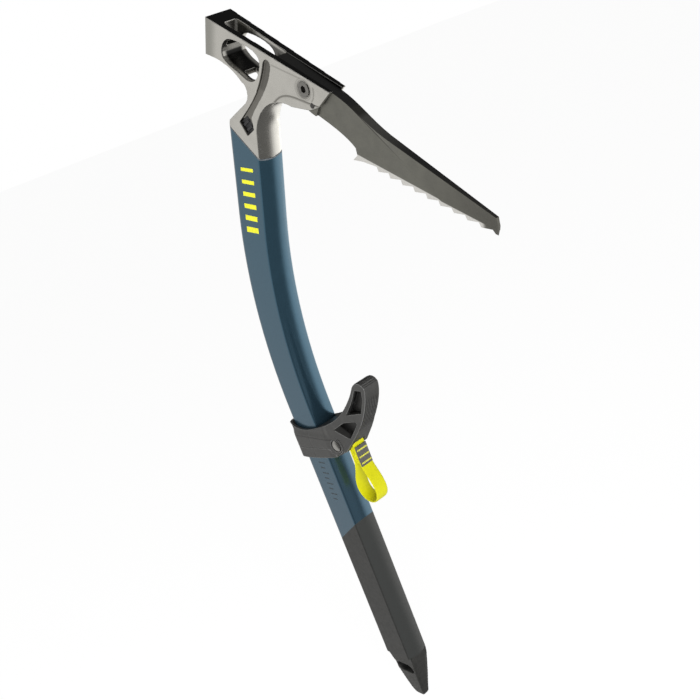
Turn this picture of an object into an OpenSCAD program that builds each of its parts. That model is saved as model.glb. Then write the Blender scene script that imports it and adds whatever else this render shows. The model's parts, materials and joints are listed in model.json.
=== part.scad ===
// Technical ice axe: bent alloy shaft, forged head with hammer, bolted pick,
// grip sleeve, steel spike and a sliding finger rest with a webbing loop.
// X points the way the pick points, Y runs across the axe, Z runs up the lower shaft.
// Heights in the parameters are measured from the spike's tip.

/* [Shaft] */
// Height from the spike's tip to the hammer's top corner
overall_h = 500; // [490:1:520]
// Depth of the shaft from front to rear
shaft_depth = 30; // [28:0.5:32]
// Width of the shaft across the axe
shaft_width = 18; // [17:0.5:19]
// Radius of the rear corners of the shaft's section
rear_corner = 4.5; // [3:0.5:6]
// Radius of its front corners
front_corner = 1.8; // [1.6:0.1:3]
// Radius of its arched front face
front_arch = 20.52; // [18:0.02:26]
// Wall of the shaft tube
tube_wall = 2.4; // [2:0.1:3]
// Height at which the bend starts
bend_start = 247; // [240:1:255]
// Radius of the bend, on the shaft's centreline
bend_radius = 295; // [280:1:310]
// Angle of the bend
bend_angle = 27.5; // [25:0.5:30]
// Length of the straight stretch above the bend
upper_len = 51; // [46:1:56]

/* [Head] */
// Slope of the head's top line below the horizontal
head_slope = 37; // [34:0.5:40]
// Place of the hammer's top corner in front of the lower shaft's centreline
head_x = 66.5; // [60:0.5:72]
// Width of the hammer
hammer_w = 18; // [17:0.5:20]
// Height of the hammer's face
hammer_h = 22.5; // [21:0.5:24]
// Length of the head's top line
head_len = 98.5; // [94:0.5:102]
// Width of the head at its front end
cheek_w = 11.6; // [11:0.2:13]

/* [Pick] */
// Thickness of the pick in the head
pick_t = 6.4; // [6:0.1:7]
// Thickness of the pick at its tip
pick_tip_t = 1.8; // [1.4:0.1:2.4]
// Distance between teeth
tooth_pitch = 8.6; // [8:0.1:9]
// Number of plain teeth between the first hook and the tip
tooth_count = 9; // [7:1:9]
// Depth of the teeth below the tooth line
tooth_depth = 3.5; // [2.5:0.1:4]

/* [Grip and spike] */
// Height of the grip sleeve's lower end
grip_bottom = 42; // [40:1:46]
// Height of the grip sleeve's slanted upper end, on the centreline
grip_top = 150; // [140:1:160]
// Slope of the grip sleeve's upper end
grip_slope = 33; // [20:1:35]
// Thickness of the grip sleeve
grip_t = 1.2; // [1:0.1:1.4]
// Length of the spike's eye
eye_len = 16; // [14:0.5:17]
// Height of the spike's eye
eye_h = 8; // [7:0.5:9]

/* [Finger rest] */
// Height of the finger rest's pivot bolt
rest_z = 224; // [200:1:226]
// Distance of the pivot bolt in front of the shaft's centreline
rest_x = 30.5; // [30:0.5:31]
// Width of the band around the shaft
band_w = 24; // [23.6:0.2:25]
// Width of the horn
horn_w = 12.4; // [12:0.2:13]
// Width of the webbing tape
tape_w = 10; // [9:0.5:10]
// Thickness of the webbing tape
tape_t = 1.5; // [1.3:0.1:1.7]

/* [Hidden] */
$fn = 48;
// the origin: middle of the grip sleeve on the lower shaft's centreline
grip_mid = (grip_bottom + grip_top) / 2;
far = 60;
seam_s = 0.5;
bend_lap = 1.5;
bend_step = 0.02;
seal_t = 0.6;
tang_gap = 0.1;
bore_corner = 2.5;
upper_tang = 60;
// the head's neck, and the throat between it and the cheeks
neck_y = shaft_width / 2 - 0.05;
neck_bottom = 11;
neck_top = 62.5;
throat_r = 22;
throat_step = 0.02;
throat_mid = [69.9, -45.5];
cheek_bottom = -30;
plug_y = 5.4;
plug_t = 1.6;
plug_lean = 37;
slot_floor = -12;
slot_open = 29;
// spike
spike_tang = 44;
spike_pin_z = [58, 74];
eye_x = 1.5;
eye_z = 29.5;
// pick bolt: M5, in the head's own frame
bolt_u = 79.5;
bolt_v = -7.2;
bolt_r = 2.5;
bolt_head_r = 4.2;
bolt_sink = 1.3;
bolt_head_t = 1.8;
bolt_flats = 3.6;
pin_u = 86.8;
pin_v = -13.4;
pin_r = 1.5;
groove_gap = 0.1;
// finger rest
slide_gap = 0.3;
pivot_r = 2;
pivot_head_r = 4;
pivot_dome = 1.6;
pivot_dome_r = (pow(pivot_head_r, 2) + pow(pivot_dome, 2)) / (2 * pivot_dome);
pivot_reach = 12;
pivot_seat = 8.6;
pivot_seat_r = 4.4;
pivot_nut_t = 2.4;
pivot_nut_flats = 7;
bush_r = 3;
lug_r = 4.2;
lug_w = 9;
// the friction pad in the slider's front wall
pad_w = 8;
pad_h = 6;
pad_out = 16.2;
pad_gap = 0.15;
seam_gap = 0.3;
web_x = rest_x + 8.1;
web_z = rest_z + 1.4;
web_pin_r = 1.5;
web_pin_len = 15;
wrap_in = web_pin_r + 0.25;
wrap_out = wrap_in + tape_t;
loop_r = 10.5;
loop_x = rest_x + 7.3;
loop_z = rest_z - 35.5;
neck_z = rest_z - 24;

// points on an arc
function arc(c, r, a0, a1, n) = [for (i = [0:n]) let (a = a0 + (a1 - a0) * i / n)
    [c[0] + r * cos(a), c[1] + r * sin(a)]];
// points on a cubic curve, without its first point
function curve(p, q, r, s, n) = [for (i = [1:n]) let (t = i / n)
    p * pow(1 - t, 3) + q * 3 * t * pow(1 - t, 2) + r * 3 * t * t * (1 - t) + s * pow(t, 3)];

module placed() translate([0, 0, -grip_mid]) children();
// stands an outline drawn in X and Z up, w wide across the axe
module across(w) translate([0, w / 2, 0]) rotate([90, 0, 0]) linear_extrude(w) children();
module cross_rod(x, z, r, w) translate([x, w / 2, z]) rotate([90, 0, 0]) cylinder(h = w, r = r);
module round_rect(d, w, r) {
    square([d - 2 * r, w], center = true);
    square([d, w - 2 * r], center = true);
    for (x = [-1, 1], y = [-1, 1])
        translate([x * (d / 2 - r), y * (w / 2 - r)]) circle(r);
}
module flat_hex(across_flats) circle(r = across_flats / sqrt(3), $fn = 6);

// ---- shaft ----
// rounded at the rear, with tighter corners and an arched face in front, and "gap" larger all round
module shaft_section(gap) {
    arch_x = shaft_depth / 2 - front_arch;
    front_x = arch_x + sqrt(pow(front_arch - front_corner, 2) - pow(shaft_width / 2 - front_corner, 2));
    rear_x = rear_corner - shaft_depth / 2;
    half = shaft_width / 2 + gap;
    arch = front_arch + gap;
    arch_half = (shaft_width / 2 - front_corner) * arch / (front_arch - front_corner);
    translate([rear_x, -half]) square([front_x - rear_x, 2 * half]);
    translate([-shaft_depth / 2 - gap, rear_corner - shaft_width / 2])
        square([rear_corner + gap + 1, shaft_width - 2 * rear_corner]);
    intersection() {
        translate([arch_x, 0]) circle(arch, $fn = 180);
        translate([0, -arch_half]) square([shaft_depth, 2 * arch_half]);
    }
    for (y = [-1, 1]) {
        translate([rear_x, y * (shaft_width / 2 - rear_corner)]) circle(rear_corner + gap);
        translate([front_x, y * (shaft_width / 2 - front_corner)]) circle(front_corner + gap);
    }
}
module bore_section(gap) round_rect(shaft_depth - 2 * tube_wall + 2 * gap,
    shaft_width - 2 * tube_wall + 2 * gap, bore_corner + gap);
module at_upper_shaft()
    translate([bend_radius * (1 - cos(bend_angle)), 0, bend_start + bend_radius * sin(bend_angle)])
        rotate([0, bend_angle, 0]) children();
// the first child runs up to the bend's end; the second, slightly slimmer, starts inside it and runs on
module along_shaft(from, to) {
    translate([0, 0, from]) linear_extrude(bend_start - from) children(0);
    translate([bend_radius, 0, bend_start]) rotate([90, 0, 0]) mirror([1, 0, 0])
        rotate_extrude(angle = bend_angle, $fn = 180) translate([bend_radius, 0]) mirror([1, 0, 0]) children(0);
    at_upper_shaft() translate([0, 0, -bend_lap]) linear_extrude(to + bend_lap) children(1);
}
// everything above the slanted seam between the shaft and the head
module above_seam(raise)
    at_upper_shaft() across(far) polygon([[-far, upper_len + raise + seam_s * far],
        [far, upper_len + raise - seam_s * far], [far, 3 * far], [-far, 3 * far]]);
module below_grip_top()
    across(far) polygon([[-far, 0], [far, 0], [far, grip_top + far * tan(grip_slope)],
        [-far, grip_top - far * tan(grip_slope)]]);
module grip_shell() intersection() {
    translate([0, 0, grip_bottom]) linear_extrude(bend_start - grip_bottom - 20) difference() {
        shaft_section(0);
        shaft_section(-grip_t);
    }
    below_grip_top();
}
module shaft_tube() color("#4a6873") placed() difference() {
    along_shaft(grip_bottom, upper_tang + 10) {
        shaft_section(0);
        shaft_section(-bend_step);
    }
    along_shaft(grip_bottom - 1, upper_tang + 20) {
        bore_section(0);
        bore_section(bend_step);
    }
    above_seam(0);
    grip_shell();
    for (z = spike_pin_z) cross_rod(0, z, pin_r, far);
}
module grip_sleeve() color("#3a3a39") placed() grip_shell();

// ---- head, in a frame at the hammer's top corner, X along the top line ----
module in_head() translate([head_x, 0, overall_h]) rotate([0, head_slope, 0]) children();
module head_outline() polygon(concat(
    [[0, 0], [0, -hammer_h]],
    curve([0, -hammer_h], [6, -21.4], [12, -20.6], [18, -21.4], 4),
    curve([18, -21.4], [27, -22.6], [40, -27.5], [35, -37], 10),
    [[22, -54], [20.8, -57.5], [22, -68], [throat_mid[0], -68], throat_mid, [66, -23.7]],
    curve([66, -23.7], [72, -22], [78, -19.9], [84.5, -17.6], 4),
    [[91.6, -12], [head_len, 0]]));
module head_plan() polygon([[-5, -hammer_w / 2], [0, -hammer_w / 2], [head_len + 2, -cheek_w / 2],
    [head_len + 2, cheek_w / 2], [0, hammer_w / 2], [-5, hammer_w / 2]]);
module window_outline() polygon(concat(
    curve([15, -17.4], [12.5, -13.5], [14.5, -6], [21, -4.4], 6),
    curve([21, -4.4], [28, -2.6], [35, -2.4], [40, -3.2], 4),
    curve([40, -3.2], [46.4, -4.4], [45.6, -9.5], [44.4, -15], 6),
    curve([44.4, -15], [42.6, -21.8], [37.5, -23], [32.5, -21.6], 6),
    curve([32.5, -21.6], [26, -20.2], [18.5, -20.6], [15, -17.4], 5)));
module groove_outline(gap) polygon([[55 - gap, 6], [55 - gap, -12.5], [58.5 - gap, -16 - gap],
    [83, -20 - gap], [110, -20 - gap], [110, 6]]);
module slot_plan() polygon([[12, -4.6], [54, -3.6], [57, -2.6], [57, 2.6], [54, 3.6], [12, 4.6], [10.8, 3.4],
    [10.8, -3.4]]);
module channel_outline() polygon(concat(
    curve([31.2, -50.4], [38.5, -38], [46.5, -24], [48, -6], 9),
    curve([48, -6], [48.6, -2.6], [53.4, -2.2], [53.8, -6], 5),
    curve([53.8, -6], [53.8, -18], [46.5, -28], [41.8, -40.4], 9),
    [[40.8, -43.6], [43.8, -49.4], [38.6, -56], [31.2, -50.4]]));
module plug_outline() polygon([[31.2, -50.6], [35.8, -45.2], [43.8, -49.5], [38.7, -56.1]]);
// the channel's floor follows the cheek, then steps out towards the neck's wider side
module channel() intersection() {
    across(2 * far) channel_outline();
    rotate([90, 0, 90]) linear_extrude(far)
        polygon([[6, 0], [6, -26], [7.4, -50], [7.4, -far], [far, -far], [far, 0]]);
}
module head_body() in_head() intersection() {
    across(far) head_outline();
    union() {
        translate([0, 0, -26]) linear_extrude(40) head_plan();
        translate([-10, 0, 0]) rotate([90, 0, 90]) linear_extrude(120)
            polygon([[-neck_y, -80], [neck_y, -80], [neck_y, -50], [7.2, -24], [-7.2, -24], [-neck_y, -50]]);
    }
}
module head_forging() color("#b9b6ae") placed() difference() {
    union() {
        difference() {
            head_body();
            at_upper_shaft() translate([0, 0, neck_bottom]) linear_extrude(neck_top - neck_bottom) difference() {
                square([140, 40], center = true);
                shaft_section(0);
            }
            // the throat keeps the shaft's arched front round to the cheeks' underside
            at_upper_shaft() translate([shaft_depth / 2 + throat_r + throat_step, 0, neck_top]) rotate([90, 0, 0])
                rotate_extrude($fn = 180) difference() {
                    translate([0, -far / 2]) square([throat_r + shaft_depth / 2, far]);
                    translate([throat_r + shaft_depth / 2, 0]) mirror([1, 0, 0]) shaft_section(0);
                }
            difference() {
                at_upper_shaft() translate([0, 0, -20]) linear_extrude(200) square([90, 40], center = true);
                above_seam(seal_t);
            }
        }
        at_upper_shaft() translate([0, 0, 6]) linear_extrude(upper_len) bore_section(-tang_gap);
    }
    in_head() across(far) window_outline();
    in_head() translate([0, 0, slot_floor]) linear_extrude(20) slot_plan();
    in_head() translate([0, 0, cheek_bottom]) linear_extrude(40) intersection() {
        slot_plan();
        translate([slot_open, -far / 2]) square([far, far]);
    }
    in_head() across(pick_t + 2 * groove_gap) groove_outline(groove_gap);
    in_head() cross_rod(bolt_u, bolt_v, bolt_r + 0.1, far);
    in_head() cross_rod(pin_u, pin_v, pin_r, far);
    for (s = [-1, 1]) in_head() {
        translate([bolt_u, s * (cheek_w / 2 - bolt_sink), bolt_v]) rotate([-90 * s, 0, 0])
            cylinder(h = 10, r = bolt_head_r + 0.1);
        mirror([0, s > 0 ? 0 : 1, 0]) channel();
        translate([0, s * (far / 2 + plug_y), 0]) across(far) plug_outline();
    }
}
module neck_plugs() color("#26262a") placed() for (s = [-1, 1]) in_head() {
    translate([0, s * (plug_y + plug_t / 2), 0]) across(plug_t) plug_outline();
    // two ribs along the plug
    for (k = [0.3, 0.7]) translate([33.5 + 7.8 * k, s * (plug_y + plug_t + 0.3), -48 - 4.6 * k])
        rotate([0, plug_lean, 0]) cube([1.4, 1.2, 6], center = true);
}
module neck_seal() color("#2c2f33") placed() difference() {
    at_upper_shaft() linear_extrude(80) difference() {
        shaft_section(0);
        bore_section(0);
    }
    above_seam(seal_t);
    difference() {
        at_upper_shaft() translate([0, 0, -1]) linear_extrude(100) square([70, 40], center = true);
        above_seam(0);
    }
}

// ---- pick, in the head's frame ----
tooth_x = 118.6;
tooth_v = -28.4;
tooth_slope = 5.9;
function on_tooth_line(x, v) = [tooth_x + x * cos(tooth_slope) - v * sin(tooth_slope),
    tooth_v + x * sin(tooth_slope) + v * cos(tooth_slope)];
module pick_outline() polygon(concat(
    [[55, -0.3], [99, -1.4]],
    curve([99, -1.4], [112, -2], [122, -6.8], [136, -8], 8),
    [[209.5, -12.6], [211.6, -16.6], on_tooth_line(94.3, -4.7)],
    [for (i = [tooth_count - 1:-1:0], p = [[tooth_pitch - 1.4, -1], [0, -tooth_depth], [-1.2, -1]])
        on_tooth_line(14.6 + tooth_pitch * i + p[0], p[1])],
    [on_tooth_line(3, -2.6), on_tooth_line(-4.3, -4.7), on_tooth_line(-1, -0.6)],
    curve([118.4, -26.6], [113, -22.6], [104, -20.8], [84, -20.1], 8),
    [[58.5, -16], [55, -12.5]]));
module pick_blade() color("#6f6d67") placed() in_head() difference() {
    intersection() {
        across(far) pick_outline();
        translate([0, 0, -50]) linear_extrude(60) polygon([[50, -pick_t / 2], [100, -pick_t / 2],
            [213, -pick_tip_t / 2], [213, pick_tip_t / 2], [100, pick_t / 2], [50, pick_t / 2]]);
    }
    // ground faces above the teeth, and the sharper bevel on the teeth themselves
    for (s = [-1, 1]) mirror([0, s > 0 ? 0 : 1, 0]) {
        translate([tooth_x, 2.15, tooth_v]) rotate([0, -tooth_slope, 0]) rotate([0, 0, -0.9])
            rotate([-14, 0, 0]) translate([-15, 0, -20]) cube([130, 10, 20]);
        translate([100, pick_t / 2 - 0.1, -3]) rotate([0, 14, 0]) rotate([0, 0, -1.6])
            rotate([-5, 0, 0]) translate([-8, 0, -60]) cube([150, 12, 60]);
    }
    cross_rod(bolt_u, bolt_v, bolt_r + 0.1, far);
    cross_rod(pin_u, pin_v, pin_r, far);
}
module pick_bolt() color("#a9a8a4") placed() in_head() difference() {
    union() {
        translate([bolt_u, -cheek_w / 2 - 0.5, bolt_v]) rotate([-90, 0, 0]) cylinder(h = bolt_head_t, r = bolt_head_r);
        translate([bolt_u, -cheek_w / 2, bolt_v]) rotate([-90, 0, 0]) cylinder(h = 8.4, r = bolt_r);
    }
    translate([bolt_u, -cheek_w / 2 - 1, bolt_v]) rotate([-90, 0, 0]) linear_extrude(2.4) flat_hex(bolt_flats);
}
module pick_nut() color("#a9a8a4") placed() in_head() difference() {
    translate([bolt_u, cheek_w / 2 - bolt_sink, bolt_v]) rotate([-90, 0, 0]) cylinder(h = bolt_head_t, r = bolt_head_r);
    translate([bolt_u, cheek_w / 2 - 0.3, bolt_v]) rotate([-90, 0, 0]) linear_extrude(4) flat_hex(bolt_flats);
}
module pick_stop_pin() color("#3c3c3c") placed() in_head() cross_rod(pin_u, pin_v, pin_r, cheek_w);

// ---- spike ----
tip_r = 4.6;
tip_half_w = 3;
side_scoop = [10.2, 30.5];
side_scoop_r = 4.6;
module spike_outline() polygon(concat(
    [[-13, grip_bottom], [-9, 34.5]], arc([0, tip_r], tip_r, 197, 345, 10),
    [[13, 34], [14.2, grip_bottom]]));
module spike_width() polygon(concat([[-8, grip_bottom], [-7.2, 30]], arc([0, tip_half_w], tip_half_w, 190, 350, 8),
    [[7.2, 30], [8, grip_bottom]]));
module spike() color("#3b3a38") placed() difference() {
    union() {
        intersection() {
            across(far) spike_outline();
            translate([-30, 0, 0]) rotate([90, 0, 90]) linear_extrude(60) spike_width();
        }
        translate([0, 0, grip_bottom]) linear_extrude(spike_tang) bore_section(-tang_gap);
    }
    across(far) translate([eye_x, eye_z]) {
        square([eye_len - eye_h, eye_h], center = true);
        for (x = [-1, 1]) translate([x * (eye_len - eye_h) / 2, 0]) circle(eye_h / 2);
    }
    for (s = [-1, 1]) translate([-22, s * side_scoop[0], side_scoop[1]]) rotate([0, 90, 0])
        cylinder(h = 20, r = side_scoop_r);
    for (z = spike_pin_z) cross_rod(0, z, pin_r, far);
}
module spike_pins() color("#8f8d88") placed() for (z = spike_pin_z) cross_rod(0, z, pin_r, shaft_width - 2 * grip_t - 2 * tang_gap);

// ---- finger rest ----
module rest_plan() {
    translate([-4.5, 0]) round_rect(28, band_w, 7);
    polygon([[4, -band_w / 2], [22, -band_w / 2], [46, -8.4], [62, -horn_w / 2], [90, -horn_w / 2],
        [90, horn_w / 2], [62, horn_w / 2], [46, 8.4], [22, band_w / 2], [4, band_w / 2]]);
}
module lever_outline() polygon(concat(
    [[-24, rest_z - 5.4], [-24, rest_z + 14]], [[-14, rest_z + 14]],
    curve([-14, rest_z + 14], [-8, rest_z + 9], [2, rest_z + 8.6], [20, rest_z + 13.6], 8),
    curve([20, rest_z + 13.6], [40, rest_z + 18], [50, rest_z + 24], [66.5, rest_z + 43.4], 12),
    curve([66.5, rest_z + 43.4], [69, rest_z + 46.6], [76.4, rest_z + 49.2], [79, rest_z + 43.2], 6),
    curve([79, rest_z + 43.2], [78, rest_z + 34], [64, rest_z + 17], [48, rest_z + 3.6], 10),
    [[38.5, rest_z - 4.4]],
    arc([rest_x, rest_z], 7, -48, -158, 10),
    [[15.5, rest_z - 2.6]]));
module pocket_low() polygon([[34.6, rest_z + 12.4], [46, rest_z + 17.6], [57.5, rest_z + 18.6],
    [58, rest_z + 16.8], [47.4, rest_z + 6.4], [45.4, rest_z + 6.4]]);
module pocket_high() polygon([[51.4, rest_z + 23.4], [66, rest_z + 25], [73.2, rest_z + 35.6],
    [74.8, rest_z + 41.4], [68, rest_z + 41.6], [59.2, rest_z + 31.2]]);
module rest_lever() color("#3f3f3d") placed() difference() {
    intersection() {
        across(far) lever_outline();
        translate([0, 0, rest_z - 20]) linear_extrude(80) rest_plan();
    }
    // room for the shaft, for the slider's lug, and for the webbing
    translate([-0.2, 0, rest_z - 20]) linear_extrude(60) round_rect(shaft_depth + 2, shaft_width + 0.8, 3);
    across(lug_w + 0.6) polygon([[8, rest_z - 20], [8, rest_z + 6], [rest_x + 5, rest_z + 6],
        [rest_x + 5, rest_z - 20]]);
    across(tape_w + 1) polygon([[web_x - 5.4, rest_z - 20], [web_x - 5.4, web_z - 7.4],
        [web_x - 3.8, web_z], [web_x - 3.8, web_z + 2],
        [web_x - 2, web_z + 4], [web_x + 2, web_z + 4], [web_x + 4.6, web_z + 1.4], [62, rest_z - 20]]);
    for (s = [-1, 1]) {
        translate([0, s * (far / 2 + 3.6), 0]) across(far) pocket_low();
        translate([0, s * (far / 2 + 2.2), 0]) across(far) pocket_high();
        translate([rest_x, s * pivot_seat, rest_z]) rotate([-90 * s, 0, 0]) cylinder(h = 10, r = pivot_seat_r);
    }
    cross_rod(rest_x, rest_z, pivot_r, far);
    cross_rod(web_x, web_z, web_pin_r, web_pin_len);
}
module rest_slider() color("#353533") placed() difference() {
    union() {
        intersection() {
            across(far) polygon(concat([[-24, rest_z - 12.6], [-8, rest_z - 12.4]],
                curve([-8, rest_z - 12.4], [6, rest_z - 11.6], [18, rest_z - 9.8], [28, rest_z - 8.4], 5),
                arc([rest_x, rest_z], 7 + seam_gap, 248, 202, 6),
                [[15.5, rest_z - 2.6 - seam_gap], [-24, rest_z - 5.4 - seam_gap]]));
            translate([0, 0, rest_z - 30]) linear_extrude(60) rest_plan();
        }
        cross_rod(rest_x, rest_z, lug_r, lug_w);
        across(lug_w) polygon([[15.6, rest_z - 8], [rest_x, rest_z - lug_r], [rest_x, rest_z + lug_r],
            [17, rest_z + 3]]);
    }
    translate([0, 0, rest_z - 30]) linear_extrude(60) shaft_section(slide_gap);
    translate([shaft_depth / 2, -pad_w / 2, rest_z - 9.4]) cube([pad_out - shaft_depth / 2, pad_w, pad_h]);
    cross_rod(rest_x, rest_z, bush_r + 0.05, far);
}
module rest_pad() color("#1f1f1f") placed() translate([shaft_depth / 2 + pad_gap, -pad_w / 2, rest_z - 9.4])
    cube([pad_out - shaft_depth / 2 - pad_gap, pad_w, pad_h]);
module rest_bush() color("#b4b2ad") placed() difference() {
    cross_rod(rest_x, rest_z, bush_r, lug_w + 0.6);
    cross_rod(rest_x, rest_z, pivot_r, far);
}
module rest_bolt() color("#c4c3c0") placed() {
    cross_rod(rest_x, rest_z, pivot_r, 2 * pivot_seat);
    translate([rest_x, -pivot_reach, rest_z]) rotate([-90, 0, 0]) intersection() {
        cylinder(h = pivot_reach - pivot_seat, r = pivot_head_r);
        translate([0, 0, pivot_dome_r]) sphere(pivot_dome_r);
    }
}
module rest_nut() color("#c4c3c0") placed() translate([rest_x, pivot_seat, rest_z]) rotate([-90, 0, 0])
    linear_extrude(pivot_nut_t) flat_hex(pivot_nut_flats);

// ---- webbing ----
module webbing_pin() color("#9a9894") placed() cross_rod(web_x, web_z, web_pin_r, web_pin_len);
module web_outline() difference() {
    union() {
        translate([web_x, web_z]) circle(wrap_out);
        polygon(concat([[web_x - wrap_out, web_z], [web_x - wrap_out, neck_z + 6]],
            curve([web_x - wrap_out, neck_z + 6], [web_x - wrap_out, neck_z - 4],
                [loop_x - loop_r, loop_z + 9], [loop_x - loop_r, loop_z], 8),
            arc([loop_x, loop_z], loop_r, 180, 360, 24),
            curve([loop_x + loop_r, loop_z], [loop_x + loop_r, loop_z + 9],
                [web_x + wrap_out, neck_z - 4], [web_x + wrap_out, neck_z + 6], 8),
            [[web_x + wrap_out, web_z]]));
    }
    translate([web_x, web_z]) circle(wrap_in);
    polygon(concat(arc([loop_x, loop_z], loop_r - tape_t, 180, 360, 20),
        curve([loop_x + loop_r - tape_t, loop_z], [loop_x + loop_r - tape_t, loop_z + 8],
            [loop_x + 1, neck_z - 6], [loop_x + 0.5, neck_z - 1], 8),
        curve([loop_x + 0.5, neck_z - 1], [loop_x - 1, neck_z - 6],
            [loop_x - loop_r + tape_t, loop_z + 8], [loop_x - loop_r + tape_t, loop_z], 8)));
}
module webbing_loop() color("#e3dc1f") placed() across(tape_w) web_outline();
keeper_x = web_x + wrap_out;
keeper_t = 1.2;
keeper_len = 14.5;
stitch_pitch = 4.8;
module webbing_keeper() color("#6d6c70") placed()
    translate([keeper_x, -tape_w / 2, rest_z - 17.5]) cube([keeper_t, tape_w, keeper_len]);
module webbing_stitches() color("#d8d25a") placed() for (i = [0:2])
    translate([keeper_x + keeper_t, -tape_w / 2 + 0.8, rest_z - 16 + i * stitch_pitch])
        cube([0.4, tape_w - 1.6, 1.2]);

head_forging();
neck_plugs();
neck_seal();
shaft_tube();
pick_blade();
pick_bolt();
pick_nut();
pick_stop_pin();
grip_sleeve();
spike();
spike_pins();
rest_slider();
rest_pad();
rest_lever();
rest_bolt();
rest_nut();
rest_bush();
webbing_pin();
webbing_loop();
webbing_keeper();
webbing_stitches();
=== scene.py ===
"""Looks of the ice axe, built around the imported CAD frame. Everything is in metres, in the CAD
frame: X points the way the pick points, Y runs across the axe, and Z runs up the lower shaft."""
import json
import math

import bmesh
import bpy
import numpy as np
from mathutils import Matrix, Vector


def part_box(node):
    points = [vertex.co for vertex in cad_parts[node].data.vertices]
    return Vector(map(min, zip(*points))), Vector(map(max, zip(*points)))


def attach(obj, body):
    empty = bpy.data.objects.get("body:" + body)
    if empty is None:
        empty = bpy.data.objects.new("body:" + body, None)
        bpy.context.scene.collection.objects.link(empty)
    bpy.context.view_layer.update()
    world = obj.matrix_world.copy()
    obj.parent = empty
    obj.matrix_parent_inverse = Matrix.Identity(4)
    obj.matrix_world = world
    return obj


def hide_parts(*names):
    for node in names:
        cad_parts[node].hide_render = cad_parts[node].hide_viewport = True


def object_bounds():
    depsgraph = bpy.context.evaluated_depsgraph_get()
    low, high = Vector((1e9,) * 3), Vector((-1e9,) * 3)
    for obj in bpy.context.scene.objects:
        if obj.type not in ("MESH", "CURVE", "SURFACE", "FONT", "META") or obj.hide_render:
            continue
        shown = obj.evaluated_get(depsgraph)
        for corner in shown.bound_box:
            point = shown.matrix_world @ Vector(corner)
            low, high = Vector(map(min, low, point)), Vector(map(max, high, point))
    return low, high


MM = 0.001
FLOOR_GAP = 0.5 * MM
WELD_GAP = 0.001 * MM

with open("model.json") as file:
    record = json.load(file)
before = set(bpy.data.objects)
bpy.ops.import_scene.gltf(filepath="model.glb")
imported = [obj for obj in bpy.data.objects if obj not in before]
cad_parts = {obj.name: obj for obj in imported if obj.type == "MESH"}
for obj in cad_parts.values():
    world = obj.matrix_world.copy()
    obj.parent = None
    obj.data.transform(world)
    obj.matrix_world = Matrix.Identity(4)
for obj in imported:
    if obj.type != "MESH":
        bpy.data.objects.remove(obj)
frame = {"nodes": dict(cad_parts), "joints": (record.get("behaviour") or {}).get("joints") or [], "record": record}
cad_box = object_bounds()
nodes = frame["nodes"]
mounts = {m["name"]: m for m in frame["record"]["mounts"]}
joints = {j["name"]: j for j in frame["joints"]}
scene = bpy.context.scene

# ---- places that the frame gives, and the hammer's height and the shaft's bend as in the CAD ----
HAMMER_H = 22.5 * MM
ACROSS = Vector((0, 1, 0))
ALONG_HEAD = -Vector(mounts["hammer_face"]["axis"])
UP_HEAD = ALONG_HEAD.cross(ACROSS)
HEAD_CORNER = Vector(mounts["hammer_face"]["pos_m"]) + UP_HEAD * HAMMER_H / 2
PIVOT = Vector(joints["rest_tilt"]["pos_m"])
WEB_PIN = Vector(joints["webbing_swing"]["pos_m"])
WEB_EYE = Vector(mounts["webbing_eye"]["pos_m"])
SHAFT_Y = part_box("shaft_tube")[1].y
SPIKE_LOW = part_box("spike")[0].z / MM
BEND_START = 151 * MM
BEND_RADIUS = 295 * MM
BEND_ANGLE = math.radians(27.5)


def axes_at(origin, x_axis, z_axis):
    """The matrix that takes coordinates on these axes to the CAD frame."""
    turn = Matrix((x_axis, z_axis.cross(x_axis), z_axis)).transposed().to_4x4()
    return Matrix.Translation(origin) @ turn


HEAD = axes_at(HEAD_CORNER, ALONG_HEAD, UP_HEAD)
REST = Matrix.Translation(PIVOT)


# ---- meshes ----
def smoothstep(low, high, x):
    """0 at low, 1 at high and smooth between; low may be the larger number."""
    t = np.clip((x - low) / (high - low), 0, 1)
    return t * t * (3 - 2 * t)


def ridge(away, width):
    """1 on a line and falling off on both sides of it."""
    return np.exp(-((away / width) ** 2))


def cubic(p, q, r, s, count):
    """Points on a cubic curve, both ends included."""
    t = np.linspace(0, 1, count)[:, None]
    p, q, r, s = (np.array(a, float) for a in (p, q, r, s))
    return p * (1 - t) ** 3 + 3 * q * t * (1 - t) ** 2 + 3 * r * t * t * (1 - t) + s * t**3


def line_distance(points, line):
    """How far each point lies from a polyline, positive on its left, and how far along the line
    its nearest place is."""
    best = np.full(len(points), 1e9)
    side = np.ones(len(points))
    along = np.zeros(len(points))
    done = 0.0
    for a, b in zip(line[:-1], line[1:]):
        d = b - a
        length = np.hypot(*d)
        raw = (points - a) @ d / length**2
        t = np.clip(raw, 0, 1)
        gap = points - a - t[:, None] * d
        far = np.hypot(gap[:, 0], gap[:, 1])
        near = far < best
        best[near] = far[near]
        side[near] = np.sign(d[0] * gap[near, 1] - d[1] * gap[near, 0])
        along[near] = done + t[near] * length
        done += length
    return best * np.where(side == 0, 1, side), along


def within(points, ring):
    """Which points lie inside a closed outline."""
    x, z = points.T
    held = np.zeros(len(points), bool)
    for a, b in zip(ring, np.roll(ring, -1, axis=0)):
        if a[1] != b[1]:
            crosses = (a[1] > z) != (b[1] > z)
            held ^= crosses & (x < (b[0] - a[0]) * (z - a[1]) / (b[1] - a[1]) + a[0])
    return held


def points_of(mesh):
    co = np.empty(len(mesh.vertices) * 3)
    mesh.vertices.foreach_get("co", co)
    return co.reshape(-1, 3)


def normals_of(mesh):
    co = np.empty(len(mesh.vertices) * 3)
    mesh.vertex_normals.foreach_get("vector", co)
    return co.reshape(-1, 3)


def write_points(mesh, co):
    mesh.vertices.foreach_set("co", co.ravel())
    mesh.update()


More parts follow.
